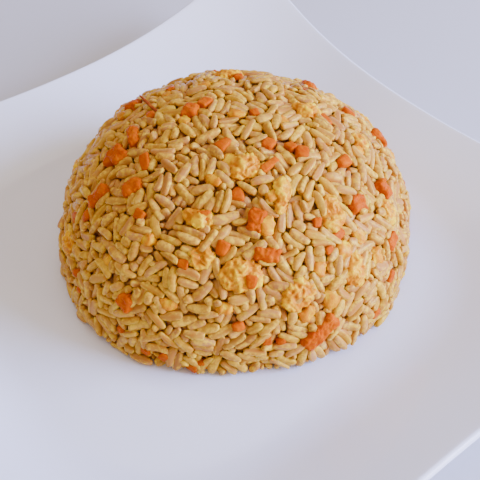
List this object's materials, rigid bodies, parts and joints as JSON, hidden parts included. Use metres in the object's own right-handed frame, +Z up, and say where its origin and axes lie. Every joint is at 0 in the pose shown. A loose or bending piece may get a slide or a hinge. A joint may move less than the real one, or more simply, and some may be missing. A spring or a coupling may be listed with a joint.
{
  "type": "fried rice plate",
  "caption": "Dome of egg and carrot fried rice, turned out of a bowl, on a square white plate with bowed sides and raised corners.",
  "frame": {"origin": "under the plate's centre, on the surface that it stands on", "axes": "+Z up; X and Y along the plate's sides"},
  "size_m": [0.221, 0.221, 0.0559],
  "materials": {
    "porcelain": "white gloss glaze",
    "rice": "oiled cooked rice, satin",
    "carrot": "cooked carrot, slightly glossy",
    "egg": "scrambled egg, satin"
  },
  "bodies": {
    "root": {"plate": "porcelain", "rice": "rice", "carrot_01": "carrot", "carrot_02": "carrot", "carrot_03": "carrot", "carrot_04": "carrot", "carrot_05": "carrot", "carrot_06": "carrot", "carrot_07": "carrot", "carrot_08": "carrot", "carrot_09": "carrot", "carrot_10": "carrot", "carrot_11": "carrot", "carrot_12": "carrot", "carrot_13": "carrot", "carrot_14": "carrot", "carrot_15": "carrot", "carrot_16": "carrot", "carrot_17": "carrot", "carrot_18": "carrot", "egg_01": "egg", "egg_02": "egg", "egg_03": "egg", "egg_04": "egg", "egg_05": "egg", "egg_06": "egg", "egg_07": "egg", "egg_08": "egg", "egg_09": "egg", "egg_10": "egg", "egg_11": "egg", "egg_12": "egg", "egg_13": "egg", "egg_14": "egg", "egg_15": "egg", "egg_16": "egg", "egg_17": "egg", "egg_18": "egg"}
  },
  "joints": []
}
